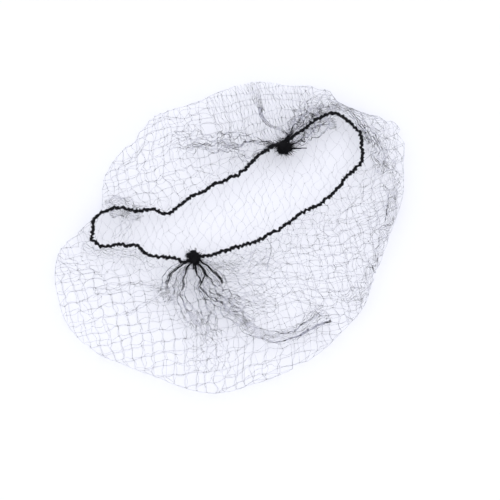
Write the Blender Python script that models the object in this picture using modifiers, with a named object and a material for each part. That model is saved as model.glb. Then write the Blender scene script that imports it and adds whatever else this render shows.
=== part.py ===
# Hairnet lying flat: a closed bag of black net with one long curved mouth in its upper
# layer, an elastic cord round that mouth, and two knots that gather the net on the cord.
# Metres, +Z up. The ground is z = 0 and the origin is the middle of the bag's footprint.
import bisect
import math

import bmesh
import bpy
from mathutils import Vector

# Sizes of the bag
BAG_LENGTH = 0.216        # along X, outside to outside
BAG_WIDTH = 0.167         # along Y, outside to outside
BAG_HEIGHT = 0.0086       # ground to the top of the upper layer at the mouth
NET_WALL = 0.0012         # thickness of the net
STRAND_WIDTH = 0.0023     # width of a strand between two gaps of the net
RIM_CURL = 0.0040         # how far in from the fold the layers lie flat
MOST_CURL = 0.45          # but at most this share of the net between the fold and the mouth
HEM_ROOM = 0.0080         # least net between the mouth and the fold at the bag's rim

# Sizes of the mouth and its elastic
MOUTH_LENGTH = 0.157
MOUTH_WIDTH = 0.052
MOUTH_ALONG = 0.0055      # middle of the mouth from the middle of the bag, along X
MOUTH_ACROSS = 0.0180     # and along Y
ELASTIC_DIAMETER = 0.0020

# Sizes of the knots and the folds
KNOT_DIAMETER = 0.0078
KNOT_INSET = 0.0016       # middle of a knot from the elastic, towards the mouth
KNOT_LUMP = 0.00035       # how far the windings of a knot stand proud
GATHER_REACH = 0.038      # length of mouth over which the net is drawn to a knot
GATHER_PULL = 0.74        # share of its way to the knot that the nearest net is drawn
FOLD_SETTLE = 0.030       # distance from the mouth over which the folds reach full height
CLEARANCE = 0.0003        # gap between two pieces that touch

# The bag's outline. Columns: turn from +X in degrees, reach as a share of the half sizes.
OUTLINE = [
    (0, 0.93), (20, 1.00), (40, 0.98), (60, 1.01), (80, 1.00), (100, 0.97),
    (120, 0.90), (140, 0.83), (160, 0.96), (180, 1.00), (200, 0.99), (220, 0.98),
    (240, 1.03), (260, 1.01), (280, 0.955), (300, 0.88), (320, 0.82), (340, 0.85),
]

# The mouth, from its right end round by the back. Columns: along and across as shares of
# half its length and half its width, lift as a share of the bag's height.
MOUTH = [
    (1.00, 0.26, 0.96), (0.99, 0.56, 0.95), (0.90, 0.92, 0.96), (0.73, 0.94, 1.00),
    (0.55, 0.81, 1.00), (0.34, 0.77, 1.00), (0.15, 0.57, 1.00), (-0.12, 0.53, 1.00),
    (-0.36, 0.41, 0.98), (-0.54, 0.58, 0.96), (-0.74, 0.91, 0.92), (-0.88, 0.98, 0.86),
    (-0.98, 0.74, 0.82), (-0.96, 0.38, 0.84), (-0.82, 0.13, 0.90), (-0.72, -0.20, 0.94),
    (-0.60, -0.53, 0.98), (-0.43, -0.80, 1.00), (-0.20, -0.90, 1.00), (0.05, -0.98, 1.00),
    (0.30, -0.90, 1.00), (0.55, -0.79, 1.00), (0.72, -0.58, 0.98), (0.89, -0.36, 0.96),
    (0.97, -0.06, 0.96),
]

# Where the net's columns run from the fold to the mouth. Columns: share of the way round
# the outline, share of the way round the mouth.
COLUMNS = [
    (0.0, 0.0), (0.07, 0.04), (0.22, 0.20), (0.405, 0.48), (0.56, 0.60), (0.80, 0.80), (1.0, 1.0),
]

# The bands of net. Columns: distance from the middle of the layer to its fold where the
# band ends, gaps in the band, share of a gap that the band is turned by.
LOWER_BANDS = [(0.115, 1, 0.0), (0.31, 6, 0.0), (0.52, 12, 0.5), (0.75, 18, 0.0), (1.0, 25, 0.5)]
# Columns: distance from the fold to the mouth where the band ends, gaps, turn.
UPPER_BANDS = [(0.34, 26, 0.0), (0.67, 23, 0.5), (1.0, 21, 0.0)]

# Folds that stand up in the upper layer. Columns: start and end along and across as shares
# of half the bag's sizes, rise as a share of its height, width as a share of its width.
FOLDS = [
    (-0.08, -0.62, 0.55, -0.78, 0.26, 0.06),
    (-0.34, -0.20, -0.46, -0.52, 0.20, 0.05),
    (-0.28, -0.16, -0.20, -0.66, 0.22, 0.05),
    (-0.20, -0.14, 0.18, -0.60, 0.20, 0.05),
    (0.40, 0.56, -0.12, 0.66, 0.20, 0.05),
    (0.66, 0.66, 0.30, 0.86, 0.16, 0.05),
    (0.93, 0.10, 0.72, -0.46, 0.18, 0.05),
    (-0.82, -0.02, -0.50, -0.34, -0.16, 0.08),
]

# Where a knot sits. Columns: name, share of the way round the mouth.
KNOTS = [("knot_front", 0.652), ("knot_back", 0.145)]

# How finely the curves are worked out
ELASTIC_POINTS = 84
CURVE_PARTS = 16          # short straights between two points of a table
CURVE_SAMPLES = 480       # even steps round a whole loop
LOOK_AHEAD = 0.004        # share of a loop over which its direction is read
HEM_STEP = 0.0062         # longest straight edge along the mouth
RIM_STEP = 0.0130         # longest straight edge along a strand elsewhere


def clear_scene():
    for thing in list(bpy.data.objects):
        bpy.data.objects.remove(thing, do_unlink=True)


def make_collection(name, hidden=False):
    collection = bpy.data.collections.new(name)
    bpy.context.scene.collection.children.link(collection)
    collection.hide_render = hidden
    return collection


def make_material(name, colour, roughness):
    material = bpy.data.materials.new(name)
    material.use_nodes = True
    shader = material.node_tree.nodes["Principled BSDF"]
    shader.inputs["Base Color"].default_value = (*colour, 1.0)
    shader.inputs["Roughness"].default_value = roughness
    shader.inputs["Metallic"].default_value = 0.0
    return material


def smooth_loop(knots, samples):
    # Even steps along a closed smooth curve through the given points.
    count = len(knots)
    fine = []
    for index in range(count):
        before, start, end, after = (knots[(index + step) % count] for step in (-1, 0, 1, 2))
        for part in range(CURVE_PARTS):
            t = part / CURVE_PARTS
            pull = (end - before) * t + (2 * before - 5 * start + 4 * end - after) * t ** 2
            pull += (3 * start - before - 3 * end + after) * t ** 3
            fine.append(start + 0.5 * pull)
    fine.append(fine[0])
    walked = [0.0]
    for start, end in zip(fine, fine[1:]):
        walked.append(walked[-1] + (end - start).length)
    loop = []
    for step in range(samples):
        target = walked[-1] * step / samples
        index = bisect.bisect_right(walked, target) - 1
        share = (target - walked[index]) / (walked[index + 1] - walked[index])
        loop.append(fine[index].lerp(fine[index + 1], share))
    return loop


def read_loop(loop, share):
    # The point at a share of the way round an evenly stepped loop.
    place = (share % 1.0) * len(loop)
    index = int(place)
    return loop[index % len(loop)].lerp(loop[(index + 1) % len(loop)], place - index)


def loop_length(loop):
    return (loop[1] - loop[0]).length * len(loop)


def inward_at(loop, share):
    # The level direction across a loop, towards its inside.
    ahead = read_loop(loop, share + LOOK_AHEAD) - read_loop(loop, share - LOOK_AHEAD)
    return Vector((-ahead.y, ahead.x, 0)).normalized()


def mouth_curve():
    knots = []
    for along, across, lift in MOUTH:
        x = MOUTH_ALONG + along * MOUTH_LENGTH / 2
        y = MOUTH_ACROSS + across * MOUTH_WIDTH / 2
        knots.append(Vector((x, y, lift * BAG_HEIGHT - NET_WALL / 2)))
    return smooth_loop(knots, CURVE_SAMPLES)


def mouth_reach(mouth, turn):
    # How far the mouth reaches from the middle of the bag in one direction.
    ahead = Vector((math.cos(turn), math.sin(turn)))
    aside = Vector((-ahead.y, ahead.x))
    reach = 0.0
    for point in mouth:
        forward = point.xy.dot(ahead)
        if forward > 0 and abs(point.xy.dot(aside)) < HEM_ROOM:
            reach = max(reach, forward)
    return reach


def outline_curve(mouth):
    # The fold round the bag: the table's shape, but never nearer the mouth than the hem room.
    knots = []
    for degrees, share in OUTLINE:
        turn = math.radians(degrees)
        along = share * BAG_LENGTH / 2 * math.cos(turn)
        across = share * BAG_WIDTH / 2 * math.sin(turn)
        point = Vector((along, across, 0))
        least = mouth_reach(mouth, math.atan2(across, along)) + HEM_ROOM
        if point.length < least:
            point *= least / point.length
        knots.append(point)
    loop = smooth_loop(knots, CURVE_SAMPLES)
    lows = [min(point[axis] for point in loop) for axis in (0, 1)]
    highs = [max(point[axis] for point in loop) for axis in (0, 1)]
    middle = Vector(((lows[0] + highs[0]) / 2, (lows[1] + highs[1]) / 2, 0))
    spans = (BAG_LENGTH - NET_WALL, BAG_WIDTH - NET_WALL)
    fits = [span / (high - low) for span, low, high in zip(spans, lows, highs)]
    return [Vector(((p.x - middle.x) * fits[0], (p.y - middle.y) * fits[1], 0)) for p in loop]


def column_at_mouth(share, mouth_span):
    # Share of the way round the mouth that a column of net runs to, drawn towards the knots.
    turns = math.floor(share)
    share -= turns
    place = 1.0
    for (low, low_mouth), (high, high_mouth) in zip(COLUMNS, COLUMNS[1:]):
        if low <= share <= high:
            place = low_mouth + (high_mouth - low_mouth) * (share - low) / (high - low)
    drawn = place
    for _, knot in KNOTS:
        apart = (place - knot + 0.5) % 1.0 - 0.5
        drawn -= GATHER_PULL * apart * math.exp(-(apart * mouth_span / GATHER_REACH) ** 2)
    return drawn + turns


def fold_rise(point):
    # Height that the folds add to the upper layer at one place.
    rise = 0.0
    for x0, y0, x1, y1, share, width in FOLDS:
        start = Vector((x0 * BAG_LENGTH / 2, y0 * BAG_WIDTH / 2))
        run = Vector((x1 * BAG_LENGTH / 2, y1 * BAG_WIDTH / 2)) - start
        along = max(0.0, min(1.0, (point.xy - start).dot(run) / run.length_squared))
        apart = (point.xy - start - run * along).length / (width * BAG_WIDTH)
        rise += share * BAG_HEIGHT * math.exp(-apart ** 2)
    return rise


def fold_point(outline, share):
    edge = read_loop(outline, share)
    return Vector((edge.x, edge.y, BAG_HEIGHT / 2))


def lower_point(outline, reach, share):
    # On the lower layer, which lies flat up to where it curls to the fold.
    edge = read_loop(outline, share)
    point = edge.normalized() * min(reach * edge.length, max(edge.length - RIM_CURL, 0.0))
    return Vector((point.x, point.y, NET_WALL / 2))


def upper_point(outline, mouth, reach, share):
    edge = read_loop(outline, share)
    hem = read_loop(mouth, column_at_mouth(share, loop_length(mouth)))
    run = hem.xy - edge.xy
    least = min(RIM_CURL / run.length, MOST_CURL)
    reach = max(reach, least)
    place = edge.xy + run * reach
    point = Vector((place.x, place.y, hem.z))
    level = min(1.0, (reach - least) / (1.0 - least))
    settle = math.sin(math.pi * level) * min(1.0, run.length * (1.0 - reach) / FOLD_SETTLE)
    point.z += fold_rise(point) * settle
    return point


def hem_point(mouth, share):
    place = column_at_mouth(share, loop_length(mouth))
    return read_loop(mouth, place) + inward_at(mouth, place) * STRAND_WIDTH / 2


def column_shares(gaps, turn):
    return [((index + turn) / gaps) % 1.0 for index in range(gaps)]


def ring_shares(bands, place, step):
    # Shares of the way round at which a ring of net has a vertex: one at each column that
    # meets it, and more between them where they lie further apart than a step.
    shares = sorted({round(share, 5) for band in bands for share in column_shares(*band)})
    full = []
    for start, end in zip(shares, shares[1:] + [shares[0] + 1.0]):
        middle = place((start + end) / 2)
        apart = (middle - place(start)).length + (place(end) - middle).length
        parts = max(1, math.ceil(apart / step - 0.2))
        full += [(start + (end - start) * part / parts) % 1.0 for part in range(parts)]
    return sorted(full)


def between(shares, start, end):
    # The ring's shares from one column round to the next, both ends included.
    end = end if end > start else end + 1.0
    turned = sorted(shares + [share + 1.0 for share in shares])
    return [share for share in turned if start - 1e-4 <= share <= end + 1e-4]


class Ring:
    # One ring of vertices across the net, found again by their share of the way round.
    def __init__(self, bm, bands, place, step):
        self.shares = ring_shares(bands, place, step)
        self.verts = {round(share, 4): bm.verts.new(place(share)) for share in self.shares}

    def vert(self, share):
        return self.verts[round(share % 1.0, 4) % 1.0]

    def stretch(self, start, end):
        return [self.vert(share) for share in between(self.shares, start, end)]


def band_cells(bm, inner, outer, columns, bend=None):
    # The gaps of one band: each runs from one column to the next between two rings.
    cells = []
    sides = {share: bm.verts.new(bend(share)) for share in columns} if bend else {}
    for start, end in zip(columns, columns[1:] + columns[:1]):
        near = inner.stretch(start, end)
        far = outer.stretch(start, end)
        loop = near + ([sides[end]] if bend else []) + far[::-1] + ([sides[start]] if bend else [])
        cells.append(bm.faces.new(loop))
    return cells


def half_width(face):
    # Distance from the middle of a cell to its nearest edge.
    middle = face.calc_center_median()
    nearest = []
    for edge in face.edges:
        start, end = (vert.co for vert in edge.verts)
        nearest.append((middle - start).cross(end - start).length / (end - start).length)
    return min(nearest)


def open_gaps(bm, cells):
    # Each cell wide enough keeps half a strand round its edge. The gathered ones stay shut.
    bmesh.ops.recalc_face_normals(bm, faces=bm.faces[:])
    wide = [face for face in cells if half_width(face) > STRAND_WIDTH]
    bmesh.ops.inset_individual(bm, faces=wide, thickness=STRAND_WIDTH / 2, use_even_offset=False)
    bmesh.ops.delete(bm, geom=wide, context="FACES")


def make_net_bag(collection, material, outline, mouth):
    bm = bmesh.new()

    # Lower layer, from its middle out to the fold
    counts = [(gaps, turn) for _, gaps, turn in LOWER_BANDS[1:]]
    meetings = [counts[max(index - 1, 0):index + 1] for index in range(len(LOWER_BANDS))]
    meetings[-1].append(UPPER_BANDS[0][1:])
    rings = []
    for (reach, _, _), bands in zip(LOWER_BANDS, meetings):
        def place(share):
            on_ground = len(rings) < len(counts)
            return lower_point(outline, reach, share) if on_ground else fold_point(outline, share)
        rings.append(Ring(bm, bands, place, RIM_STEP))
    cells = [bm.faces.new(rings[0].stretch(0.0, 1.0 - 1e-3))]
    for inner, outer, band in zip(rings, rings[1:], counts):
        bend = (lambda share: lower_point(outline, 1.0, share)) if outer is rings[-1] else None
        cells += band_cells(bm, inner, outer, sorted(column_shares(*band)), bend)

    # Upper layer, from the fold in to the mouth
    counts = [(gaps, turn) for _, gaps, turn in UPPER_BANDS]
    inner = rings[-1]
    for index, (reach, gaps, turn) in enumerate(UPPER_BANDS):
        def place(share):
            return upper_point(outline, mouth, reach, share)
        outer = Ring(bm, counts[index:index + 2], place, HEM_STEP if reach == 1.0 else RIM_STEP)
        bend = (lambda share: upper_point(outline, mouth, 0.0, share)) if index == 0 else None
        cells += band_cells(bm, inner, outer, sorted(column_shares(gaps, turn)), bend)
        inner = outer

    # The hem inside the last ring, so that the elastic lies on the middle of a strand
    hem = [bm.verts.new(hem_point(mouth, share)) for share in inner.shares]
    edge = [inner.vert(share) for share in inner.shares]
    for index in range(len(hem)):
        bm.faces.new([edge[index - 1], edge[index], hem[index], hem[index - 1]])

    open_gaps(bm, cells)
    mesh = bpy.data.meshes.new("net_bag")
    bm.to_mesh(mesh)
    bm.free()
    mesh.materials.append(material)
    bag = bpy.data.objects.new("net_bag", mesh)
    collection.objects.link(bag)
    wall = bag.modifiers.new("Wall", "SOLIDIFY")
    wall.thickness = NET_WALL
    wall.offset = 0.0


def elastic_line(mouth, share):
    # Middle of the elastic, which lies on the hem with a small gap.
    rise = NET_WALL / 2 + CLEARANCE + ELASTIC_DIAMETER / 2
    return read_loop(mouth, share) + Vector((0, 0, rise))


def make_cord(name, collection, material, points, diameter):
    # A closed cord through the points.
    curve = bpy.data.curves.new(name, "CURVE")
    curve.dimensions = "3D"
    curve.bevel_depth = diameter / 2
    curve.bevel_resolution = 2
    curve.twist_mode = "Z_UP"
    spline = curve.splines.new("POLY")
    spline.points.add(len(points) - 1)
    for spot, point in zip(spline.points, points):
        spot.co = (*point, 1.0)
    spline.use_cyclic_u = True
    curve.materials.append(material)
    cord = bpy.data.objects.new(name, curve)
    collection.objects.link(cord)
    return cord


def make_cutter(curve_object, name, collection):
    # A cord turned into a mesh that can cut other pieces.
    bpy.context.view_layer.update()
    evaluated = curve_object.evaluated_get(bpy.context.evaluated_depsgraph_get())
    mesh = bpy.data.meshes.new_from_object(evaluated)
    bm = bmesh.new()
    bm.from_mesh(mesh)
    bmesh.ops.remove_doubles(bm, verts=bm.verts[:], dist=0.00001)
    bm.to_mesh(mesh)
    bm.free()
    cutter = bpy.data.objects.new(name, mesh)
    cutter.matrix_world = curve_object.matrix_world
    cutter.hide_render = True
    cutter.display_type = "WIRE"
    collection.objects.link(cutter)
    bpy.data.objects.remove(curve_object, do_unlink=True)
    return cutter


def make_knot(name, share, collection, material, mouth, groove):
    # A wound ball of net and thread, cut flat where it sits on the hem and grooved round
    # the elastic.
    centre = elastic_line(mouth, share) + inward_at(mouth, share) * KNOT_INSET
    bm = bmesh.new()
    bmesh.ops.create_icosphere(bm, subdivisions=3, radius=KNOT_DIAMETER / 2)
    for vert in bm.verts:
        turn = math.atan2(vert.co.y, vert.co.x)
        tilt = math.asin(max(-1.0, min(1.0, vert.co.z / (KNOT_DIAMETER / 2))))
        lump = math.sin(3 * turn + 4 * tilt) * math.cos(tilt) + 0.5 * math.sin(5 * tilt - 2 * turn)
        vert.co += vert.co.normalized() * KNOT_LUMP * (lump - 1.0)
    bmesh.ops.translate(bm, verts=bm.verts[:], vec=centre)
    span = KNOT_DIAMETER / loop_length(mouth)
    hem_top = max(read_loop(mouth, share + side * span).z for side in (-1, 0, 1)) + NET_WALL / 2
    floor = Vector((0, 0, hem_top + CLEARANCE))
    trim = bmesh.ops.bisect_plane(bm, geom=bm.verts[:] + bm.edges[:] + bm.faces[:], dist=0.00001,
                                  plane_co=floor, plane_no=(0, 0, -1), clear_outer=True)
    rim = [edge for edge in trim["geom_cut"] if isinstance(edge, bmesh.types.BMEdge)]
    bmesh.ops.holes_fill(bm, edges=rim, sides=0)
    bmesh.ops.recalc_face_normals(bm, faces=bm.faces[:])
    mesh = bpy.data.meshes.new(name)
    bm.to_mesh(mesh)
    bm.free()
    mesh.materials.append(material)
    knot = bpy.data.objects.new(name, mesh)
    collection.objects.link(knot)
    cut = knot.modifiers.new("Groove", "BOOLEAN")
    cut.operation = "DIFFERENCE"
    cut.object = groove


clear_scene()
hairnet = make_collection("hairnet")
cutters = make_collection("cutters", hidden=True)
net_material = make_material("net", (0.012, 0.012, 0.016), 0.55)
elastic_material = make_material("elastic", (0.010, 0.010, 0.012), 0.75)
knot_material = make_material("knot", (0.008, 0.008, 0.010), 0.85)

mouth_loop = mouth_curve()
outline_loop = outline_curve(mouth_loop)

make_net_bag(hairnet, net_material, outline_loop, mouth_loop)

cord_points = [elastic_line(mouth_loop, index / ELASTIC_POINTS) for index in range(ELASTIC_POINTS)]
make_cord("elastic_edge", hairnet, elastic_material, cord_points, ELASTIC_DIAMETER)

groove_diameter = ELASTIC_DIAMETER + 2 * CLEARANCE
groove_cord = make_cord("groove_cord", cutters, elastic_material, cord_points, groove_diameter)
groove_cutter = make_cutter(groove_cord, "groove_cutter", cutters)
for knot_name, knot_share in KNOTS:
    make_knot(knot_name, knot_share, hairnet, knot_material, mouth_loop, groove_cutter)
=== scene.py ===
import math
import random

import bmesh
import bpy
from mathutils import Euler, Matrix, Vector, noise
from mathutils.kdtree import KDTree


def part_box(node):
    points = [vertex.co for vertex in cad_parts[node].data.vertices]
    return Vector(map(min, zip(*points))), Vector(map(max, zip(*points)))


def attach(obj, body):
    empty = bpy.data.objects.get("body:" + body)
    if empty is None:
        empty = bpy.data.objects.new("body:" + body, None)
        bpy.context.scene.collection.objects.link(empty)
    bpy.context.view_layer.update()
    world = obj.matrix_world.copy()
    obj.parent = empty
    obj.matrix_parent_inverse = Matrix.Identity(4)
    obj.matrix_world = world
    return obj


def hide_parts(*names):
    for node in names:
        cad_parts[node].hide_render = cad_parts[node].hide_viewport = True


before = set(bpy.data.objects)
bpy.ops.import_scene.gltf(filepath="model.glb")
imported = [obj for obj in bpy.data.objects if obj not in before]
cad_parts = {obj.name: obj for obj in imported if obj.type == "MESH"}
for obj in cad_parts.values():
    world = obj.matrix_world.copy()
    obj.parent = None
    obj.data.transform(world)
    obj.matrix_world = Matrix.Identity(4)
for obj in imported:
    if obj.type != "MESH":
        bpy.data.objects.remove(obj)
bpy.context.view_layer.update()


# View, table top and light
# The hairnet lies on a plain white table top and is seen from steeply above, a little from
# its left. The light is broad and soft, a touch cooler from the sides than from above.

VIEW_AZIMUTH = math.radians(-25)
VIEW_ELEVATION = math.radians(70)
VIEW_AIM = Vector((0.0011, -0.0110, 0.0085))
VIEW_WIDTH = 0.275            # width of table that the picture takes in
VIEW_LENS = 300.0             # millimetres, as is the sensor's width
SENSOR_WIDTH = 36.0
TABLE_SIZE = 3.0
LAMP_SIZE = 1.1
LAMP_PLACE = (0.46, -0.44, 1.25)
LAMP_POWER = 1.5
SIDE_LIGHT = 1.19


class Value:
    # A value that changes over a surface. Arithmetic on it adds Math nodes.
    def __init__(self, finish, socket):
        self.finish = finish
        self.socket = socket

    def maths(self, operation, first, second):
        return self.finish.add("ShaderNodeMath", {"operation": operation}, {0: first, 1: second})

    def __add__(self, other):
        return self.maths("ADD", self, other)

    def __radd__(self, other):
        return self.maths("ADD", other, self)

    def __sub__(self, other):
        return self.maths("SUBTRACT", self, other)

    def __rsub__(self, other):
        return self.maths("SUBTRACT", other, self)

    def __mul__(self, other):
        return self.maths("MULTIPLY", self, other)

    def __rmul__(self, other):
        return self.maths("MULTIPLY", other, self)


class Finish:
    # The nodes of one material. add() makes a node from its type, settings and sockets.
    def __init__(self, name):
        self.material = bpy.data.materials.new(name)
        self.material.use_nodes = True
        self.nodes = self.material.node_tree.nodes
        self.links = self.material.node_tree.links
        self.shader = self.nodes["Principled BSDF"]

    def feed(self, socket, value):
        if isinstance(value, Value):
            self.links.new(value.socket, socket)
        else:
            socket.default_value = value

    def add(self, kind, settings=None, sockets=None, out=0):
        node = self.nodes.new(kind)
        for name, value in (settings or {}).items():
            setattr(node, name, value)
        for name, value in (sockets or {}).items():
            self.feed(node.inputs[name], value)
        return Value(self, node.outputs[out])

    def place(self, scale):
        # Where a point of the piece is, in pattern repeats for each metre.
        spot = self.add("ShaderNodeTexCoord", out="Object")
        return self.add("ShaderNodeVectorMath", {"operation": "SCALE"}, {0: spot, "Scale": scale})

    def mottle(self, scale, detail=3.0, rough=0.55):
        sockets = {"Vector": self.place(scale), "Scale": 1.0, "Detail": detail, "Roughness": rough}
        return self.add("ShaderNodeTexNoise", {}, sockets)

    def blend(self, share, first, second):
        settings = {"data_type": "RGBA"}
        sockets = {0: share, 6: (*first, 1.0), 7: (*second, 1.0)}
        return self.add("ShaderNodeMix", settings, sockets, out=2)

    def set(self, **values):
        for name, value in values.items():
            self.feed(self.shader.inputs[name.replace("_", " ")], value)

    def bump(self, height, distance, strength=1.0):
        sockets = {"Height": height, "Distance": distance, "Strength": strength}
        self.set(Normal=self.add("ShaderNodeBump", {}, sockets))


def new_piece(name, bm, material, smooth=True):
    # A finished piece, with its place in its mesh.
    mesh = bpy.data.meshes.new(name)
    bm.to_mesh(mesh)
    bm.free()
    mesh.materials.append(material)
    if smooth:
        mesh.shade_smooth()
    piece = bpy.data.objects.new(name, mesh)
    bpy.context.scene.collection.objects.link(piece)
    return piece


back = Vector((
    math.sin(VIEW_AZIMUTH) * math.cos(VIEW_ELEVATION),
    -math.cos(VIEW_AZIMUTH) * math.cos(VIEW_ELEVATION),
    math.sin(VIEW_ELEVATION),
))
camera_data = bpy.data.cameras.new("camera")
camera_data.lens = VIEW_LENS
camera_data.sensor_width = SENSOR_WIDTH
camera = bpy.data.objects.new("camera", camera_data)
bpy.context.scene.collection.objects.link(camera)
distance = VIEW_WIDTH / 2 / (SENSOR_WIDTH / 2 / VIEW_LENS)
camera.location = VIEW_AIM + back * distance
camera.rotation_euler = (-back).to_track_quat("-Z", "Y").to_euler()
camera_data.clip_start = 0.01
camera_data.clip_end = 20.0
bpy.context.scene.camera = camera

table_finish = Finish("table_top")
sheen = table_finish.mottle(6.0)
table_finish.set(
    Base_Color=table_finish.blend(sheen, (0.885, 0.888, 0.90), (0.905, 0.905, 0.915)),
    Roughness=0.6 + sheen * 0.2,
)
table_finish.bump(table_finish.mottle(900.0), 0.00002)
bm = bmesh.new()
bmesh.ops.create_grid(bm, x_segments=12, y_segments=12, size=TABLE_SIZE / 2)
table_top = new_piece("table_top", bm, table_finish.material, smooth=False)

lamp_data = bpy.data.lights.new("lamp", "AREA")
lamp_data.shape = "DISK"
lamp_data.size = LAMP_SIZE
lamp_data.energy = LAMP_POWER
lamp_data.color = (1.0, 0.95, 0.96)
lamp = bpy.data.objects.new("lamp", lamp_data)
bpy.context.scene.collection.objects.link(lamp)
lamp.location = LAMP_PLACE
lamp.rotation_euler = (-lamp.location).to_track_quat("-Z", "Y").to_euler()

world = bpy.data.worlds.new("studio")
bpy.context.scene.world = world
world.use_nodes = True
surround = world.node_tree.nodes["Background"]
surround.inputs["Color"].default_value = (0.903, 0.918, 1.0, 1.0)
surround.inputs["Strength"].default_value = SIDE_LIGHT
bpy.context.scene.view_settings.view_transform = "Standard"


# Elastic round the mouth
# Two plies of black thread-covered rubber are twisted into one cord, which makes its bumpy
# edge. A fine thread is wound round it, and the net's edge meshes are hitched on all along.

MOUTH = [  # middle of the cord in millimetres, on round from the narrow end's front
    (-72, 26.2, 8.5), (-62.9, 22.4, 9), (-59.3, 20.3, 9), (-53.8, 16.9, 9.4), (-52.9, 14, 9.4),
    (-50.5, 9.2, 9.4), (-45.1, 5.8, 9.7), (-39.2, 1.8, 9.7), (-35.1, -2.5, 9.9), (-29.2, -3, 9.9),
    (-22, -4.5, 9.9), (-14.9, -5.7, 9.9), (-5, -6.4, 9.9), (3.4, -8.2, 9.9), (11.3, -7.8, 9.9),
    (20.3, -7, 9.9), (29.4, -5.5, 9.9), (36.7, -3.2, 9.9), (45.9, -3.3, 9.9), (54.5, -1.6, 9.9),
    (60.2, 0.8, 9.7), (66.9, 5.1, 9.7), (75.1, 7.7, 9.6), (79.9, 11.3, 9.6), (83, 17.3, 9.6),
    (85.2, 24.5, 9.6), (83.9, 31.7, 9.5), (81.5, 38.1, 9.5), (77.2, 42.2, 9.6), (69.9, 43.2, 9.6),
    (63.3, 42.1, 9.9), (56.3, 40.4, 9.9), (49.3, 38.8, 9.9), (40.4, 37.9, 9.9), (32.5, 37.6, 9.9),
    (24.9, 36.1, 9.9), (17, 32.4, 9.9), (8, 31.7, 9.9), (-4.5, 31.3, 9.9), (-15.8, 30.4, 9.7),
    (-24.7, 27.9, 9.7), (-33.3, 27.9, 9.6), (-37.8, 33.1, 9.6), (-45.9, 35.6, 9.2), (-54, 41.5, 9.2),
    (-61.6, 43.5, 8.7), (-67.9, 42.4, 8.7), (-71.7, 37.5, 8.4), (-75, 31.3, 8.5),
]
LOOP_STEPS = 900
PLY_RADIUS = 0.00050
PLY_OFFSET = 0.00046
TWIST_PITCH = 0.0066
WIND_PITCH = 0.0013
WIND_RADIUS = 0.00009
WIND_SIDES = 12
HITCH_STEP = 0.0024
HITCH_RADIUS = 0.00018
HITCH_SIDES = 14
SHORT_KINK = (0.00085, 0.0015, 0.0)   # strays of the slack cord: size, scale and seed
LONG_KINK = (0.00085, 0.0055, 5.0)
ZIGZAG_SIZE = 0.00028         # how far the cord's twist throws it from side to side
ZIGZAG_PITCH = 0.0025
FLUFF_COUNT = 900
FLUFF_RADIUS = 0.00003
WINDING_SEED = 7
STRAY_SEED = 1                # keeps all strays the same at each run


def in_metres(points):
    # Points given in millimetres, level where they have no height.
    return [Vector((*point, 0)[:3]) / 1000 for point in points]


def leftward(ahead):
    # The level direction to the left of a way.
    return Vector((-ahead.y, ahead.x, 0)).normalized()


def curve_between(before, start, end, after, parts):
    # Points on the smooth curve from a corner up to the next, led by the corners beside them.
    points = []
    for part in range(parts):
        t = part / parts
        pull = (end - before) * t + (2 * before - 5 * start + 4 * end - after) * t ** 2
        pull += (3 * start - before - 3 * end + after) * t ** 3
        points.append(start + 0.5 * pull)
    return points


def smooth_loop(corners, steps):
    # Even steps along a closed smooth curve through the corners.
    fine = []
    count = len(corners)
    for index in range(count):
        near = [corners[(index + turn) % count] for turn in (-1, 0, 1, 2)]
        fine += curve_between(*near, parts=16)
    return even_steps(fine + [fine[0]], steps)[:-1]


def even_steps(points, steps):
    # The same line in steps of one length.
    walked = [0.0]
    for start, end in zip(points, points[1:]):
        walked.append(walked[-1] + (end - start).length)
    spots = []
    index = 0
    for step in range(steps + 1):
        target = walked[-1] * step / steps
        while index < len(points) - 2 and walked[index + 1] < target:
            index += 1
        share = (target - walked[index]) / max(walked[index + 1] - walked[index], 1e-9)
        spots.append(points[index].lerp(points[index + 1], min(1.0, share)))
    return spots


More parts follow.
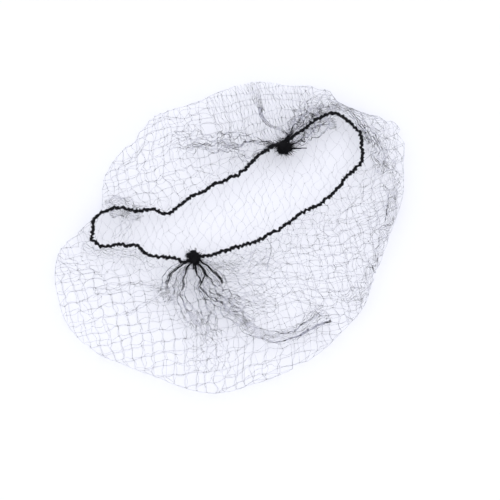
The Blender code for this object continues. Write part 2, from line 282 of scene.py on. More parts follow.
def tubes(lines, radius, sides, bead=0.0):
    # Round threads along every edge of a wire mesh, and beads where more than two meet.
    wire = bpy.data.meshes.new("wire")
    lines.to_mesh(wire)
    lines.free()
    holder = bpy.data.objects.new("wire", wire)
    bpy.context.scene.collection.objects.link(holder)
    tree = bpy.data.node_groups.new("thread", "GeometryNodeTree")
    tree.interface.new_socket("Lines", in_out="INPUT", socket_type="NodeSocketGeometry")
    tree.interface.new_socket("Threads", in_out="OUTPUT", socket_type="NodeSocketGeometry")

    def node(kind, settings=None, sockets=None):
        made = tree.nodes.new(kind)
        for name, value in (settings or {}).items():
            setattr(made, name, value)
        for name, value in (sockets or {}).items():
            if isinstance(value, bpy.types.NodeSocket):
                tree.links.new(value, made.inputs[name])
            else:
                made.inputs[name].default_value = value
        return made

    start = node("NodeGroupInput").outputs["Lines"]
    curve = node("GeometryNodeMeshToCurve", {}, {"Mesh": start}).outputs[0]
    sockets = {"Resolution": sides, "Radius": radius}
    ring = node("GeometryNodeCurvePrimitiveCircle", {}, sockets).outputs[0]
    sockets = {"Curve": curve, "Profile Curve": ring, "Fill Caps": True}
    threads = node("GeometryNodeCurveToMesh", {}, sockets).outputs[0]
    if bead:
        around = node("GeometryNodeInputMeshVertexNeighbors").outputs["Vertex Count"]
        compare = node("FunctionNodeCompare", {"data_type": "INT", "operation": "GREATER_THAN"})
        tree.links.new(around, compare.inputs[2])
        compare.inputs[3].default_value = 2
        ball = node("GeometryNodeMeshIcoSphere", {}, {"Radius": bead, "Subdivisions": 1}).outputs[0]
        sizes = node("FunctionNodeRandomValue", {"data_type": "FLOAT"})
        sizes.inputs[2].default_value = 0.6
        sizes.inputs[3].default_value = 1.5
        sockets = {"Points": start, "Selection": compare.outputs[0]}
        sockets.update({"Instance": ball, "Scale": sizes.outputs[1]})
        spread = node("GeometryNodeInstanceOnPoints", {}, sockets).outputs[0]
        real = node("GeometryNodeRealizeInstances", {}, {0: spread}).outputs[0]
        join = node("GeometryNodeJoinGeometry")
        tree.links.new(real, join.inputs[0])
        tree.links.new(threads, join.inputs[0])
        threads = join.outputs[0]
    node("NodeGroupOutput", {}, {"Threads": threads})
    holder.modifiers.new("Thread", "NODES").node_group = tree
    shape = holder.evaluated_get(bpy.context.evaluated_depsgraph_get())
    mesh = bpy.data.meshes.new_from_object(shape)
    bpy.data.objects.remove(holder, do_unlink=True)
    made = bmesh.new()
    made.from_mesh(mesh)
    return made


def add_thread(lines, points, closed=False):
    # Adds one thread to a wire mesh.
    verts = [lines.verts.new(point) for point in points]
    for start, end in zip(verts, verts[1:]):
        lines.edges.new((start, end))
    if closed:
        lines.edges.new((verts[-1], verts[0]))


def add_made(target, made):
    # Joins a made mesh to another.
    mesh = bpy.data.meshes.new("part")
    made.to_mesh(mesh)
    made.free()
    target.from_mesh(mesh)


def wander(point, size, scale, seed):
    # A smooth stray from a point, up to about the given size.
    away = Vector((seed, seed * 0.7, seed * 1.3))
    return noise.noise_vector(point / scale + away) * size


noise.seed_set(STRAY_SEED)
mouth_line = smooth_loop(in_metres(MOUTH), LOOP_STEPS)
mouth_length = sum((mouth_line[index] - mouth_line[index - 1]).length for index in range(LOOP_STEPS))
cord_line = []
for index, point in enumerate(mouth_line):
    stray = wander(point, *SHORT_KINK) + wander(point, *LONG_KINK)
    side = leftward(mouth_line[(index + 1) % LOOP_STEPS] - mouth_line[index - 1])
    turn = math.tau * mouth_length / ZIGZAG_PITCH * index / LOOP_STEPS
    throw = ZIGZAG_SIZE * math.sin(turn + 2.5 * noise.noise(point / 0.006))
    throw *= 1 + noise.noise(point / 0.004)
    cord_line.append(point + Vector((stray.x, stray.y, stray.z * 0.3)) + side * throw)


def at_cord(share):
    # Middle of the cord and its two cross directions at a share of the way round.
    spot = (share % 1.0) * LOOP_STEPS
    index = int(spot)
    here = cord_line[index % LOOP_STEPS].lerp(cord_line[(index + 1) % LOOP_STEPS], spot - index)
    ahead = mouth_line[(index + 3) % LOOP_STEPS] - mouth_line[(index - 3) % LOOP_STEPS]
    side = leftward(ahead)
    return here, side, ahead.cross(side).normalized()


def around_cord(share, turn, radius):
    # A place at a radius and a turn round the cord.
    here, side, up = at_cord(share)
    return here + (side * math.cos(turn) + up * math.sin(turn)) * radius


cord_finish = Finish("elastic_thread")
fleck = cord_finish.mottle(1800.0)
cord_finish.set(
    Base_Color=cord_finish.blend(fleck, (0.0015, 0.0015, 0.002), (0.007, 0.007, 0.009)),
    Roughness=0.62 + fleck * 0.3,
    Specular_IOR_Level=0.22,
)
cord_finish.bump(cord_finish.mottle(5200.0), 0.00006)

twists = round(mouth_length / TWIST_PITCH)
plies = bmesh.new()
for ply in (0, 1):
    points = []
    for step in range(LOOP_STEPS):
        share = step / LOOP_STEPS
        turn = math.tau * (twists * share + ply / 2)
        points.append(around_cord(share, turn, PLY_OFFSET))
    add_thread(plies, points, closed=True)
elastic_cord = new_piece("elastic_cord", tubes(plies, PLY_RADIUS, 8), cord_finish.material)
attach(elastic_cord, "root")
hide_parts("elastic_edge")

winding = bmesh.new()
winds = round(mouth_length / WIND_PITCH)
points = []
for step in range(winds * WIND_SIDES):
    share = step / (winds * WIND_SIDES)
    turn = math.tau * winds * share
    lean = math.tau * twists * share
    bulge = PLY_RADIUS + PLY_OFFSET * abs(math.cos(turn - lean))
    slip = 0.0006 * noise.noise(Vector((share * 300, 0, 0)))
    points.append(around_cord(share + slip, turn, bulge))
add_thread(winding, points, closed=True)
thread_work = tubes(winding, WIND_RADIUS, 5)
random.seed(WINDING_SEED)
hitching = bmesh.new()
hitches = round(mouth_length / HITCH_STEP)
for index in range(hitches):
    share = (index + random.uniform(-0.3, 0.3)) / hitches
    tilt = random.uniform(-0.0022, 0.0022)
    grip = random.uniform(0.92, 1.22)
    points = []
    for step in range(HITCH_SIDES):
        turn = math.tau * step / HITCH_SIDES
        lean = math.tau * twists * share
        bulge = PLY_RADIUS + PLY_OFFSET * abs(math.cos(turn - lean)) + HITCH_RADIUS / 2
        points.append(around_cord(share + tilt * math.sin(turn), turn, bulge * grip))
    add_thread(hitching, points, closed=True)
add_made(thread_work, tubes(hitching, HITCH_RADIUS, 5))
fluff = bmesh.new()
for _ in range(FLUFF_COUNT):
    share = random.random()
    turn = random.uniform(0, math.tau)
    long = random.uniform(0.0003, 0.0014)
    lean = random.uniform(-0.004, 0.004)
    root = PLY_RADIUS + PLY_OFFSET * 0.5
    points = []
    for part in (0.0, 0.35, 0.7, 1.0):
        along = share + lean * part * part
        points.append(around_cord(along, turn + lean * 200 * part, root + long * part))
    add_thread(fluff, points)
add_made(thread_work, tubes(fluff, FLUFF_RADIUS, 3))
elastic_winding = new_piece("elastic_winding", thread_work, cord_finish.material)
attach(elastic_winding, "root")
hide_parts("elastic_edge")


# Lower layer of the net
# One fine black nylon thread is knotted into meshes of about 5 mm a side. This layer is the
# crown of the bag: it lies flat on the table, drawn into long diamonds under the mouth.

RIM = [  # fold of the bag in millimetres, on round from the back
    (38.2, 81.6), (26.4, 82.3), (8.3, 82.6), (-11.9, 84.8), (-27.1, 78.1), (-42.7, 70.9),
    (-54.5, 61.8), (-61.4, 48.9), (-70.6, 43.5), (-79.9, 39.8), (-93, 34.6), (-101, 23.8),
    (-104.7, 12.6), (-107.2, -5.6), (-101.2, -25.4), (-89.6, -39.6), (-77.5, -52.6), (-62.2, -68.6),
    (-48.1, -77.4), (-29.8, -80.5), (-9.2, -82), (10, -79.7), (28.1, -73.5), (43.6, -66.2),
    (54.8, -55.3), (69, -41), (80.8, -28.7), (92, -16.2), (100, -0.5), (106.1, 11.2),
    (107.4, 20.7), (104, 27.5), (92.2, 38), (83.5, 48.5), (81.7, 56.5), (75.1, 63.1),
    (62.8, 69.3), (48.8, 78.3),
]
RIM_HEIGHT = 0.0043
RIM_CURL = 0.0040             # how far in from the fold the layers lie flat
NET_THREAD = 0.000053
NET_BEAD = 0.00017
DEEP_THREAD = 0.000030        # seen through the mouth, where the thread is drawn thin
DIAMOND_WIDTH = 0.0050
DIAMOND_HEIGHT = 0.0092
PULL_TURN = math.radians(-25)  # the way that the diamonds are drawn long, from +Y
SEAM = [  # where the diamonds pass into squares, in millimetres
    (-82, 26), (-76, 12), (-58, 2), (-40, -12), (-10, -18), (30, -17), (62, -8), (84, 4), (94, 22),
    (90, 42), (72, 52), (40, 48), (0, 42), (-25, 38), (-45, 46), (-62, 46.5), (-76, 40), (-83, 33),
]
MESH_SIDE = 0.0056
MESH_TURN = math.radians(-11)
NET_REACH = 0.29              # flat net to start from, before it is trimmed to the bag
TIE_WITHIN = 0.004
FOLD_WITHIN = 0.0075
BOTH_LAYERS = (0.011, 0.070, 13.0)    # strays of the meshes: size, scale and seed
LOWER_WIDE = (0.0105, 0.040, 41.0)
LOWER_NEAR = (0.0034, 0.012, 8.0)
DIAMOND_WIDE = (0.0055, 0.060, 3.0)
DIAMOND_NEAR = (0.0036, 0.011, 8.0)
LOWER_THREAD = (0.0019, 0.0045, 1.0)
CALM_SPOT = Vector((-0.080, -0.030, 0))   # here the net lies smooth and square
CALM_REACH = 0.044
LAYER_SLIP = Vector((0.0013, 0.0026, 0))  # lower meshes against the upper ones there

rim_line = smooth_loop(in_metres(RIM), LOOP_STEPS)
for point in rim_line:
    point.z = RIM_HEIGHT


def flat(point):
    # A point or way as seen from above.
    return Vector((point.x, point.y, 0))


def loop_tree(line):
    # Finds the nearest place on a line, seen from above.
    tree = KDTree(len(line))
    for index, point in enumerate(line):
        tree.insert(flat(point), index)
    tree.balance()
    return tree


def inward(line, index):
    # The level direction from a loop into it.
    count = len(line)
    return leftward(line[(index + 2) % count] - line[(index - 2) % count])


def depth_in(line, tree, point):
    # How far a point lies inside a loop, and the nearest place on it.
    spot, index, _ = tree.find(flat(point))
    away = flat(point) - spot
    return math.copysign(away.length, away.dot(inward(line, index))), line[index]


seam_line = smooth_loop(in_metres(SEAM), LOOP_STEPS)
rim_tree = loop_tree(rim_line)
mouth_tree = loop_tree(mouth_line)
seam_tree = loop_tree(seam_line)


def mesh_grid(width, height, turn, diamonds):
    # A flat piece of net: squares, or diamonds with their corners up and across.
    net = bmesh.new()
    columns = math.ceil(NET_REACH / width)
    rows = math.ceil(NET_REACH / height)
    bmesh.ops.create_grid(net, x_segments=columns, y_segments=rows, size=0.5)
    bmesh.ops.scale(net, vec=(columns * width, rows * height, 1), verts=net.verts[:])
    bmesh.ops.rotate(net, cent=(0, 0, 0), matrix=Matrix.Rotation(turn, 3, "Z"), verts=net.verts[:])
    if diamonds:
        straight = net.edges[:]
        bmesh.ops.poke(net, faces=net.faces[:])
        bmesh.ops.delete(net, geom=straight, context="EDGES_FACES")
    else:
        bmesh.ops.delete(net, geom=net.faces[:], context="FACES_ONLY")
    return net


def trim_net(net, line, tree, keep_inside):
    # Cuts the net at a loop, and hooks its cut threads onto the loop.
    side = 1 if keep_inside else -1
    stays = {vert: side * depth_in(line, tree, vert.co)[0] > 0 for vert in net.verts}
    hooked = []
    gone = []
    for vert, stay in stays.items():
        if not stay:
            beside = any(stays[edge.other_vert(vert)] for edge in vert.link_edges)
            (hooked if beside else gone).append(vert)
    bmesh.ops.delete(net, geom=gone, context="VERTS")
    for vert in hooked:
        vert.co = flat(depth_in(line, tree, vert.co)[1])
    between = [edge for edge in net.edges if all(vert in hooked for vert in edge.verts)]
    bmesh.ops.delete(net, geom=between, context="EDGES")
    bmesh.ops.delete(net, geom=[vert for vert in net.verts if not vert.link_edges], context="VERTS")


def ends_on(net, line, tree):
    # The thread ends that are hooked onto a loop.
    return [vert for vert in net.verts if abs(depth_in(line, tree, vert.co)[0]) < 1e-6]


def tie_ends(verts, spots, within):
    # Moves loose thread ends onto the nearest of the given spots.
    near = KDTree(len(spots))
    for index, spot in enumerate(spots):
        near.insert(spot, index)
    near.balance()
    for vert in verts:
        spot, _, away = near.find(vert.co)
        if away < within:
            vert.co = spot


def join_along(net, line, tree, within):
    # Threads between neighbouring ends on a loop, where meshes are folded over it.
    ends = sorted(ends_on(net, line, tree), key=lambda vert: tree.find(flat(vert.co))[1])
    for one, other in zip(ends, ends[1:] + ends[:1]):
        if (one.co - other.co).length < within and not net.edges.get((one, other)):
            net.edges.new((one, other))


def divide(net, cuts):
    # Gives each thread some bends between its knots.
    bmesh.ops.subdivide_edges(net, edges=net.edges[:], cuts=cuts)


def curl(depth):
    # Share of a layer's rise that is reached at a depth in from the fold.
    share = min(1.0, max(0.0, depth / RIM_CURL))
    return math.sqrt(1 - (1 - share) ** 2)


def calm(point):
    # How calm the net lies at a point, from 0 to 1.
    away = (flat(point) - CALM_SPOT).length
    return math.exp(-(away / CALM_REACH) ** 2)


net_finish = Finish("net_thread")
# Painted highlight: the noise below runs the thread's colour from black to a pale bluish grey in
# patches along it. The pale patches are painted light where black nylon would glint, and the same noise
# also varies the roughness.
fleck = net_finish.mottle(380.0, detail=1.0)
painted_glint = net_finish.add("ShaderNodeMapRange", {}, {"Value": fleck, "From Min": 0.42, "From Max": 0.58})
net_finish.set(
    Base_Color=net_finish.blend(painted_glint, (0.004, 0.004, 0.006), (0.42, 0.42, 0.48)),
    Roughness=0.45 + fleck * 0.3,
    Specular_IOR_Level=0.25,
)
net_finish.bump(net_finish.mottle(9000.0), 0.00002)


def lay_low(net):
    # Lays a net on the table, a little slack, and up to the fold at the rim.
    for vert in net.verts:
        depth, edge = depth_in(rim_line, rim_tree, vert.co)
        loose = min(1.0, depth / 0.003)
        vert.co += flat(wander(vert.co, *LOWER_THREAD)) * loose
        floor = NET_THREAD + 0.0005 * (0.5 + 0.5 * noise.noise(vert.co / 0.014))
        vert.co.z = edge.z + (floor - edge.z) * curl(depth)


outer = mesh_grid(MESH_SIDE, MESH_SIDE, MESH_TURN, diamonds=False)
for vert in outer.verts:
    shared = flat(wander(vert.co, *BOTH_LAYERS))
    own = wander(vert.co, *LOWER_WIDE) + wander(vert.co, *LOWER_NEAR)
    vert.co += shared + flat(own) * (1 - 0.7 * calm(vert.co)) + LAYER_SLIP
trim_net(outer, rim_line, rim_tree, keep_inside=True)
trim_net(outer, seam_line, seam_tree, keep_inside=False)
rim_nodes = [vert.co.copy() for vert in ends_on(outer, rim_line, rim_tree)]
seam_nodes = [vert.co.copy() for vert in ends_on(outer, seam_line, seam_tree)]
join_along(outer, rim_line, rim_tree, FOLD_WITHIN)
inner = mesh_grid(DIAMOND_WIDTH, DIAMOND_HEIGHT, PULL_TURN, diamonds=True)
for vert in inner.verts:
    vert.co += flat(wander(vert.co, *DIAMOND_WIDE) + wander(vert.co, *DIAMOND_NEAR))
trim_net(inner, seam_line, seam_tree, keep_inside=True)
tie_ends(ends_on(inner, seam_line, seam_tree), seam_nodes, TIE_WITHIN)
divide(outer, 4)
divide(inner, 4)
lay_low(outer)
lay_low(inner)
crown = tubes(outer, NET_THREAD, 3, NET_BEAD)
add_made(crown, tubes(inner, DEEP_THREAD, 3, NET_BEAD * 0.6))
net_crown = new_piece("net_crown", crown, net_finish.material)
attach(net_crown, "root")
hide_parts("net_bag")


# Upper layer of the net
# The same net turns back over the rim and runs in to the elastic, where its last meshes are
# hitched on. It lies slack: its meshes are nearly square, and creases draw them together.

NET_UNDER_CORD = 0.0009       # the net's edge below the middle of the cord
UPPER_MESHES = (0.0046, 0.011, 18.0)
UPPER_THREAD = (0.0024, 0.0048, 21.0)
HANG_SPOT = Vector((0.0425, 0.0610, 0))   # behind the back knot the meshes hang drawn shut
HANG_WAY = Vector((0.256, 0.967, 0))
HANG_LONG = 0.018
HANG_WIDE = 0.026
HOOKED_WITHIN = 0.002         # of the rim, where thread ends stay
CREASE_STEPS = 80
CREASES = [
    # pull, reach in millimetres, then the line's points in millimetres
    (0.80, 7, [(-32.8, -2.9), (-36.5, -2.4), (-41.4, -5.4), (-45.3, -7.3), (-48.2, -10.9),
               (-51.7, -15)]),
    (0.80, 7, [(-30.5, -4), (-32.7, -8.3), (-37.1, -10.3), (-39.6, -14.1), (-43.8, -18.1),
               (-44.7, -28.2), (-42.8, -35.7), (-40.9, -41.5)]),
    (0.80, 7, [(-28.6, -5.1), (-27.8, -14.3), (-31.2, -19.5), (-31.1, -26.2), (-26.4, -34),
               (-22.9, -40.1), (-19, -47.4), (-17.3, -52.7)]),
    (0.75, 6, [(-30.3, -5.4), (-31.7, -15), (-34.6, -24.6), (-34.5, -35.7), (-38.4, -40.7),
               (-38.8, -51.6)]),
    (0.75, 5, [(-26.8, -4.4), (-23.5, -12), (-20.4, -19), (-20.9, -24.3)]),
    (0.75, 6, [(-22.5, -53.5), (-14.1, -61.3), (-2.3, -67.4), (10.6, -67.2), (24.5, -67)]),
    (0.55, 6, [(-49.2, -12.1), (-60.4, -3.6), (-66.6, -1.4), (-78.1, 1.4), (-87.8, 2.7)]),
    (0.70, 6, [(-4.8, 57.4), (9.7, 51.9), (18.2, 43.7), (23.9, 37.8), (31.1, 37.7)]),
    (0.70, 6, [(-9.9, 64.7), (1.7, 61.3), (10.3, 54.9), (22.4, 54.2), (32.3, 45.5), (41.8, 37.2)]),
    (0.55, 7, [(82, -26.1), (74.6, -35.6), (62.9, -47.6), (49.5, -59.4), (38.1, -64.4)]),
]


def upper_height(point):
    # Height of the upper layer: from the fold up to the elastic that lies on it.
    depth, edge = depth_in(rim_line, rim_tree, point)
    hem = depth_in(mouth_line, mouth_tree, point)[1].z - NET_UNDER_CORD
    return edge.z + (hem - edge.z) * curl(depth)


def smooth_line(corners, steps):
    # Even steps along an open smooth curve through the corners.
    first = corners[0] * 2 - corners[1]
    last = corners[-1] * 2 - corners[-2]
    ends = [first] + corners + [last]
    fine = []
    for near in zip(ends, ends[1:], ends[2:], ends[3:]):
        fine += curve_between(*near, parts=12)
    return even_steps(fine + [corners[-1]], steps)


creases = []
for pull, reach, points in CREASES:
    line = smooth_line(in_metres(points), CREASE_STEPS)
    creases.append((pull, reach / 1000, line, loop_tree(line)))


def draw_together(point):
    # Creases draw the net in from both sides.
    moved = point.copy()
    for pull, reach, line, tree in creases:
        spot, index, away = tree.find(flat(moved))
        ends = min(1.0, 6 * min(index, len(line) - 1 - index) / len(line))
        moved += (spot - moved) * pull * ends * math.exp(-(away / reach) ** 2)
    return moved


def hangs(point):
    # Whether a point lies where the net behind the back knot hangs long and narrow.
    away = flat(point) - HANG_SPOT
    along = away.dot(HANG_WAY)
    across = away.dot(Vector((HANG_WAY.y, -HANG_WAY.x, 0)))
    return (along / HANG_LONG) ** 4 + (across / HANG_WIDE) ** 4 < 1


def cut_hanging(net):
    # Takes the square meshes out there, but for the ends that are hooked on the rim.
    drawn = []
    for vert in net.verts:
        if hangs(vert.co) and depth_in(rim_line, rim_tree, vert.co)[0] > HOOKED_WITHIN:
            drawn.append(vert)
    bmesh.ops.delete(net, geom=drawn, context="VERTS")


upper = mesh_grid(MESH_SIDE, MESH_SIDE, MESH_TURN, diamonds=False)
for vert in upper.verts:
    shared = flat(wander(vert.co, *BOTH_LAYERS))
    vert.co += shared + flat(wander(vert.co, *UPPER_MESHES)) * (1 - 0.45 * calm(vert.co))
trim_net(upper, rim_line, rim_tree, keep_inside=True)
trim_net(upper, mouth_line, mouth_tree, keep_inside=False)
tie_ends(ends_on(upper, rim_line, rim_tree), rim_nodes, TIE_WITHIN)
cut_hanging(upper)
divide(upper, 5)
for vert in upper.verts:
    depth = depth_in(rim_line, rim_tree, vert.co)[0]
    hem_depth = abs(depth_in(mouth_line, mouth_tree, vert.co)[0])
    free = min(1.0, depth / 0.004, hem_depth / 0.002)
    place = vert.co.lerp(draw_together(vert.co), free)
    stray = wander(place, *UPPER_THREAD) * free
    lift = 0.0008 * noise.noise(place / 0.012) * free
    vert.co = place + flat(stray)
    vert.co.z = upper_height(vert.co) + lift
net_top = new_piece("net_top", tubes(upper, NET_THREAD, 3, NET_BEAD), net_finish.material)
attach(net_top, "root")
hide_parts("net_bag")


# Net gathered at the front knot
# The end of the net is drawn into a few thick ropes of thread here, which fan out again into
# its meshes. Long creases run on from them through the slack net in front of the mouth.

ROPE_THREAD = 0.000072
GATHER_LIFT = 0.0006
GATHER_STEPS = 160
ROPE_PULL = 0.92              # how far a rope's threads are drawn to its middle
FRONT_SEED = 31.0
FRONT_GATHERS = [
    # width at start and end, meshes across and along, ropes, tangle in millimetres, then points
    (1.6, 10, 9, 7, 2, 1.3, [(-29.6, -4), (-35.7, -2.5), (-40.6, -3.9), (-45.5, -6.6), (-48.7, -11.2),
                             (-50.9, -14.7), (-55.4, -16.5)]),
    (2.4, 8, 5, 6, 0, 1.4, [(-33.8, -5.4), (-39, -8.5), (-43, -13), (-46, -17), (-52, -20)]),
    (1.4, 9, 8, 8, 2, 1.2, [(-29.8, -4), (-32.5, -5.2), (-35.5, -7.4), (-38, -10.7), (-42.7, -16.3),
                            (-44.4, -21), (-44.4, -28.8), (-43.5, -34.8), (-43.1, -40.6)]),
    (1.6, 10, 8, 11, 2, 1.2, [(-29.2, -4), (-28.2, -7), (-27.3, -11.2), (-28.1, -15.3), (-32, -19),
                              (-31.3, -25.5), (-28.1, -29.8), (-25.5, -34.3), (-25.9, -37.4),
                              (-22.5, -41.3), (-20.3, -45.6), (-17.8, -51.3)]),
    (1.6, 12, 6, 8, 2, 1.4, [(-29.8, -4), (-30.3, -6.4), (-31.7, -15), (-33.7, -22.7), (-34.5, -29),
                             (-34.9, -36.6), (-37.9, -40.7), (-38.8, -44.8), (-37.9, -49.6)]),
    (1.6, 6, 8, 6, 2, 1.0, [(-28.6, -4), (-26.7, -5.4), (-23.9, -10.6), (-22.6, -14.5), (-20.4, -18.9),
                            (-20.4, -23.3)]),
    (3.0, 7, 4, 5, 0, 1.2, [(-25, -6.2), (-20, -11), (-14, -15), (-9, -20)]),
    (1.4, 12, 6, 9, 2, 1.4, [(-28.8, -4), (-28, -8), (-27.3, -13.4), (-25.1, -22.2), (-26.4, -27.2),
                             (-23, -31), (-19.9, -35.8), (-15.6, -42.2)]),
    (4.0, 4.5, 9, 1, 0, 0.6, [(-29.4, -2.6), (-30.4, -5.5), (-31.4, -8.5)]),
    (9, 12, 4, 5, 0, 2.2, [(-26, -7), (-20.8, -11.5), (-16.3, -15.8), (-8.3, -18.2), (0.6, -18.5),
                           (9.1, -19.9)]),
    (9, 13, 4, 5, 0, 2.2, [(-31.2, -21.7), (-23.2, -26.7), (-13.8, -29.9), (-4.3, -38.2)]),
    (9, 13, 5, 5, 0, 2.2, [(-28.7, -29.4), (-20.2, -37.2), (-9.8, -40.8), (-0.8, -47.6)]),
    (10, 22, 2, 4, 0, 2.4, [(-43.7, -22.4), (-46.1, -34.2), (-47.3, -49.7), (-49.8, -61.5)]),
    (8, 20, 3, 4, 0, 2.4, [(-36.7, -32.1), (-40.6, -43.2), (-41.6, -55.7), (-48, -66.9)]),
    (0.6, 1.8, 6, 13, 1, 0.8, [(-23.3, -48.7), (-22.5, -53.5), (-18.7, -57.7), (-14.1, -61.3),
                               (-8.4, -65.9), (-2.3, -67.4), (3.9, -67.5), (10.6, -67.2), (17.2, -67.2),
                               (24.5, -67)]),
    (0.8, 1.6, 7, 9, 1, 0.8, [(-22.5, -53.5), (-18.7, -57.7), (-14.1, -61.3), (-8.4, -65.9),
                              (-2.3, -67.4), (3.9, -67.5), (10.6, -67.2)]),
    (1.0, 3.0, 3, 10, 1, 0.9, [(-17.8, -51.3), (-13.5, -55.5), (-9.1, -59.5), (-2.4, -63.1),
                               (2.6, -63.5), (8.4, -62.4), (14.8, -62), (21.3, -61.7)]),
    (4, 12, 8, 9, 0, 1.6, [(-20.3, -45.3), (-16.7, -54.8), (-8.7, -62.6), (-0.7, -64.9),
                           (10.7, -64.5), (24.2, -60.6)]),
    (1.4, 6.0, 2, 7, 0, 1.6, [(-49.2, -12.1), (-55.1, -9.3), (-60.4, -3.6), (-66.6, -1.4), (-78.1, 1.4),
                              (-87.8, 2.7)]),
    (1.4, 5.0, 2, 5, 0, 1.6, [(-53.1, -14.1), (-61.6, -15.3), (-70.8, -16.8), (-76.5, -16.1)]),
    (5, 6, 3, 6, 0, 2.8, [(-81, 31), (-77.5, 25.8), (-70.2, 21), (-63, 17.5), (-56.5, 11.5), (-50, 5)]),
    (14, 12, 2, 8, 0, 1.8, [(-12, -12), (0, -14), (14, -14), (30, -12), (46, -9)]),
    (26, 26, 3, 11, 0, 1.8, [(-6, -32), (12, -36), (30, -33), (50, -26), (70, -14), (88, 2)]),
    (16, 14, 2, 9, 0, 1.8, [(10, -52), (28, -52), (46, -44), (62, -32), (78, -16)]),
    (6.0, 9.0, 8, 10, 0, 2.6, [(87, -11), (84, -20), (74.6, -33.6), (62.9, -45.6), (49.5, -56.4),
                               (38.1, -61.4)]),
    (0.6, 1.0, 2, 3, 1, 0.7, [(12.1, -9), (12.1, -15.2), (8.4, -20), (3.9, -26.1)]),
    (0.8, 0.8, 2, 3, 1, 0.7, [(84.5, -13), (81.8, -18.9), (76.1, -26.6)]),
]


def tangled(place, tangle, seed):
    # How far crumpled thread strays, by its tangle in millimetres.
    size = tangle / 1000
    return flat(wander(place, size, 0.0035, seed) + wander(place, size, 0.009, seed + 4))


def gather_net(start_width, end_width, across, along, ropes, tangle, points, seed):
    # A strip of net laid along a line, its threads drawn towards a few ropes at its start.
    net = bmesh.new()
    bmesh.ops.create_grid(net, x_segments=along, y_segments=across, size=0.5)
    straight = net.edges[:]
    bmesh.ops.poke(net, faces=net.faces[:])
    bmesh.ops.delete(net, geom=straight, context="EDGES_FACES")
    divide(net, 5)
    line = smooth_line(in_metres(points), GATHER_STEPS)
    outside = []
    for vert in net.verts:
        share = vert.co.x + 0.5
        offset = vert.co.y
        if ropes:
            rope = round(offset * ropes) / ropes
            offset += (rope - offset) * ROPE_PULL * (1 - share ** 3)
        index = min(int(share * GATHER_STEPS), GATHER_STEPS - 1)
        here = line[index].lerp(line[index + 1], share * GATHER_STEPS - index)
        side = leftward(line[min(index + 2, GATHER_STEPS)] - line[max(index - 2, 0)])
        width = (start_width + (end_width - start_width) * share) / 1000
        place = here + side * offset * width
        place += tangled(place, tangle, seed) * min(1.0, 5 * share)
        if depth_in(rim_line, rim_tree, place)[0] < 0:
            outside.append(vert)
        lift = GATHER_LIFT * (1.0 + noise.noise(place / 0.005 + Vector((seed, 0, 0))))
        place.z = upper_height(place) + lift
        vert.co = place
    bmesh.ops.delete(net, geom=outside, context="VERTS")
    return net


def gather_piece(name, rows, seed):
    # One piece from all strips of a table, the roped ones in the thicker thread.
    roped = bmesh.new()
    loose = bmesh.new()
    for index, row in enumerate(rows):
        ropes = row[4]
        add_made(roped if ropes else loose, gather_net(*row, seed=seed + 9 * index))
    gathers = tubes(roped, ROPE_THREAD, 3, NET_BEAD * 0.8)
    add_made(gathers, tubes(loose, NET_THREAD, 3, NET_BEAD))
    piece = new_piece(name, gathers, net_finish.material)
    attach(piece, "root")
    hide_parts("net_bag")


gather_piece("net_front_gathers", FRONT_GATHERS, FRONT_SEED)


# Net gathered at the back knot
# The other end of the net is drawn in here. From it the meshes hang long and narrow towards
# the back rim, and more net lies crumpled along the elastic's wide end and round its narrow end.

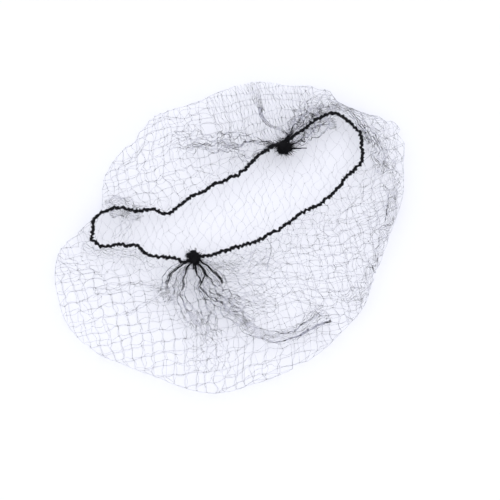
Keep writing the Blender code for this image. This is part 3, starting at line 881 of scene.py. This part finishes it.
BACK_SEED = 331.0
BACK_GATHERS = [  # in the same columns as the front ones
    (3.0, 8, 5, 8, 3, 3.0, [(42.5, 37), (31.1, 39.2), (23.9, 37.8), (18.2, 43.7), (9.7, 51.9),
                            (-4.8, 57.4)]),
    (2.5, 11, 5, 8, 3, 3.0, [(42.5, 37), (32.3, 45.5), (22.4, 54.2), (10.3, 54.9), (1.7, 61.3),
                             (-9.9, 64.7)]),
    (1.4, 9, 5, 7, 1, 2.0, [(42.5, 37), (36, 42), (28, 46), (20, 48), (12, 50)]),
    (1.2, 2.4, 11, 6, 3, 0.25, [(43, 36), (45.8, 37.9), (48.6, 41.3), (46.5, 46), (42.3, 50.5),
                                (40.1, 57), (41.9, 63)]),
    (3.0, 8, 6, 3, 0, 0.8, [(41.9, 60), (42.6, 70), (44.4, 77.5)]),
    (50, 62, 28, 3, 0, 1.3, [(38, 41), (41, 54), (44, 66), (47, 79)]),
    (3, 13, 6, 9, 0, 4.4, [(45, 37), (47.8, 39.8), (52.2, 44.2), (57.7, 47.3), (66.1, 49.8),
                           (74.6, 50.5), (81.8, 48.6)]),
    (3, 9, 9, 9, 0, 4.4, [(45, 38), (50, 43), (57.7, 46), (66.1, 48), (74.6, 49)]),
    (2, 6, 8, 8, 2, 2.4, [(45, 37), (50, 41), (57.7, 43), (66.1, 45), (74.6, 46)]),
    (3, 8, 9, 9, 2, 3.4, [(45, 36), (48.8, 35.8), (55.2, 36.1), (63.7, 37.3), (72.6, 39.2),
                          (77.6, 37.5)]),
    (3, 8, 8, 8, 0, 3.6, [(46, 36), (52, 36.5), (60, 37.5), (68, 39), (75, 39)]),
    (2, 3, 7, 7, 2, 1.4, [(74, 46.5), (79.5, 45), (84, 41.5), (87, 35), (88, 27), (87.5, 18)]),
    (5, 8, 9, 12, 4, 2.6, [(78, 46.5), (84.1, 44.2), (87.8, 39.1), (89.6, 30.4), (90.6, 20.6),
                           (89.7, 9), (86.2, -0.7)]),
    (5, 9, 3, 10, 0, 3.0, [(80, 50), (89, 41), (95, 33), (97.5, 22), (96.1, 10), (92, -2), (86, -14)]),
    (12, 14, 2, 10, 0, 3.0, [(86, 46), (98.1, 24), (98.1, 10), (92, -6), (80, -22), (66, -38)]),
    (7, 7, 7, 7, 0, 2.8, [(-60, 46.5), (-54.8, 45.7), (-51.1, 42.7), (-46.5, 37.4), (-40.1, 34.9)]),
    (3, 6, 6, 6, 0, 2.6, [(-60, 41.5), (-56.3, 39.3), (-51.8, 35.9), (-45.3, 32.6)]),
    (5, 11, 4, 3, 0, 1.6, [(-50.5, 38.5), (-53.8, 33.2), (-58.2, 26.1), (-61.5, 23.5)]),
    (1.0, 1.2, 3, 3, 1, 0.7, [(76.4, 43.4), (80.1, 38.4), (82.6, 33.7)]),
    (0.6, 0.8, 2, 2, 1, 0.5, [(77.3, 50.1), (76.4, 44.6)]),
]

gather_piece("net_back_gathers", BACK_GATHERS, BACK_SEED)


# Knots
# The thread ends of the gathered net are wound round the elastic into a hard ball and tied.
# Loose filaments stand out of it, and the back one keeps two short tails of thread.

KNOT_TURNS = 90
KNOT_THREAD = 0.00015
TURN_SIDES = 22
FUZZ_RADIUS = 0.00007
NECK_RADIUS = 0.00012
NECK_START = 0.004            # gathered strips that start this near a knot are drawn into it
NECK_RISE = 0.0008
NECK_STEPS = 200
NECK_PARTS = 12
TAIL_RADIUS = 0.00026
BACK_TAILS = [  # in millimetres
    [(44.0, 34.5, 11), (46.9, 33.0, 11), (54.8, 29.6, 10.2)],
    [(44.0, 34.3, 11), (46.9, 32.6, 11), (51.8, 30.6, 10.5)],
]

knot_finish = Finish("knot_thread")
fleck = knot_finish.mottle(2400.0)
knot_finish.set(
    Base_Color=knot_finish.blend(fleck, (0.001, 0.001, 0.0015), (0.006, 0.006, 0.008)),
    Roughness=0.7 + fleck * 0.25,
    Specular_IOR_Level=0.2,
)
knot_finish.bump(knot_finish.mottle(6000.0), 0.00008)


def neck_threads(centre, rows, row_seed, count, long):
    # Single threads that run out of a knot along each gathered strip.
    drawn = bmesh.new()
    for index, (start_width, end_width, _, _, _, tangle, corners) in enumerate(rows):
        line = smooth_line(in_metres(corners), NECK_STEPS)
        if (line[0] - flat(centre)).length > NECK_START:
            continue
        pace = (line[0] - line[1]).length
        side = (line[6] - line[0]).normalized().cross(Vector((0, 0, 1)))
        for _ in range(count):
            reach = min(random.uniform(0.25, 1.0) ** 1.7 * long / 1000, pace * NECK_STEPS)
            lean = random.uniform(-0.5, 0.5) / 1000
            own = random.uniform(-20.0, 20.0)
            points = [centre + Vector((0, 0, NECK_RISE))]
            for part in range(1, NECK_PARTS + 1):
                share = reach * part / NECK_PARTS / pace / NECK_STEPS
                width = start_width + (end_width - start_width) * share
                spot = line[min(NECK_STEPS, int(share * NECK_STEPS))]
                spot = spot + side * lean * width * 0.4
                spot += tangled(spot, tangle, row_seed + 9 * index) * min(1.0, 5 * share)
                spot += flat(wander(spot, 0.0007, 0.004, own)) * min(1.0, 0.3 + part / NECK_PARTS)
                spot.z = upper_height(spot) + GATHER_LIFT * 1.6
                points.append(spot)
            add_thread(drawn, smooth_line(points, 36))
    return drawn


def wind_knot(node, name, seed, place, width, fuzz_count, fuzz_reach, neck, tails):
    # A lumpy ball in its node's box, wound with thread, then its fuzz, neck threads and tails.
    random.seed(seed)
    low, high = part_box(node)
    centre = Vector((place[0] / 1000, place[1] / 1000, (low.z + high.z) / 2))
    sizes = Vector((width / 2000, width / 2000, (high.z - low.z) / 2))

    def at(spot):
        return centre + Vector(a * b for a, b in zip(spot, sizes))

    def lump(way):
        rough = 0.22 * noise.noise(way * 4.3 + Vector((seed, 0, 0)))
        return 0.72 + 0.70 * noise.noise(way * 1.7 + Vector((seed, 0, 0))) + rough

    ball = bmesh.new()
    bmesh.ops.create_icosphere(ball, subdivisions=4, radius=1.0)
    for vert in ball.verts:
        vert.co = at(vert.co * lump(vert.co) * 0.90)
    coils = bmesh.new()
    for _ in range(KNOT_TURNS):
        tip = Euler([random.uniform(0, math.tau) for _ in range(3)]).to_matrix()
        slide = random.uniform(-0.8, 0.8)
        wave = random.uniform(0.05, 0.30)
        loose = random.uniform(0.85, 1.25)
        points = []
        for step in range(TURN_SIDES):
            turn = math.tau * step / TURN_SIDES
            wide = math.sqrt(1 - slide ** 2)
            rise = slide + wave * math.sin(2 * turn)
            spot = Vector((wide * math.cos(turn), wide * math.sin(turn), rise))
            way = (tip @ spot).normalized()
            points.append(at(way * min(lump(way) * loose, 1.2)))
        add_thread(coils, points, closed=True)
    add_made(ball, tubes(coils, KNOT_THREAD, 5))
    fuzz = bmesh.new()
    for _ in range(fuzz_count):
        way = Vector([random.gauss(0, 1) for _ in range(3)]).normalized()
        way.z = abs(way.z) * 0.5
        bend = Vector([random.gauss(0, 1) for _ in range(3)]) * 0.5
        bend.z *= 0.3
        long = random.uniform(0.2, 1.0) ** 2 * fuzz_reach
        points = []
        for part in (0, 0.25, 0.5, 0.75, 1):
            points.append(at(way * (0.7 + long * part) + bend * long * part ** 2))
        add_thread(fuzz, points)
    add_made(ball, tubes(fuzz, FUZZ_RADIUS, 3))
    add_made(ball, tubes(neck_threads(centre, *neck), NECK_RADIUS, 3))
    ends = bmesh.new()
    for points in tails:
        add_thread(ends, smooth_line(in_metres(points), 24))
    add_made(ball, tubes(ends, TAIL_RADIUS, 5))
    piece = new_piece(name, ball, knot_finish.material)
    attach(piece, "root")
    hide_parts(node)


front_neck = (FRONT_GATHERS, FRONT_SEED, 20, 25.0)
back_neck = (BACK_GATHERS, BACK_SEED, 9, 13.0)
wind_knot("knot_front", "front_knot", 3, (-29.3, -2.9), 7.7, 600, 0.7, front_neck, [])
wind_knot("knot_back", "back_knot", 4, (43.4, 34.6), 7.2, 1300, 1.0, back_neck, BACK_TAILS)
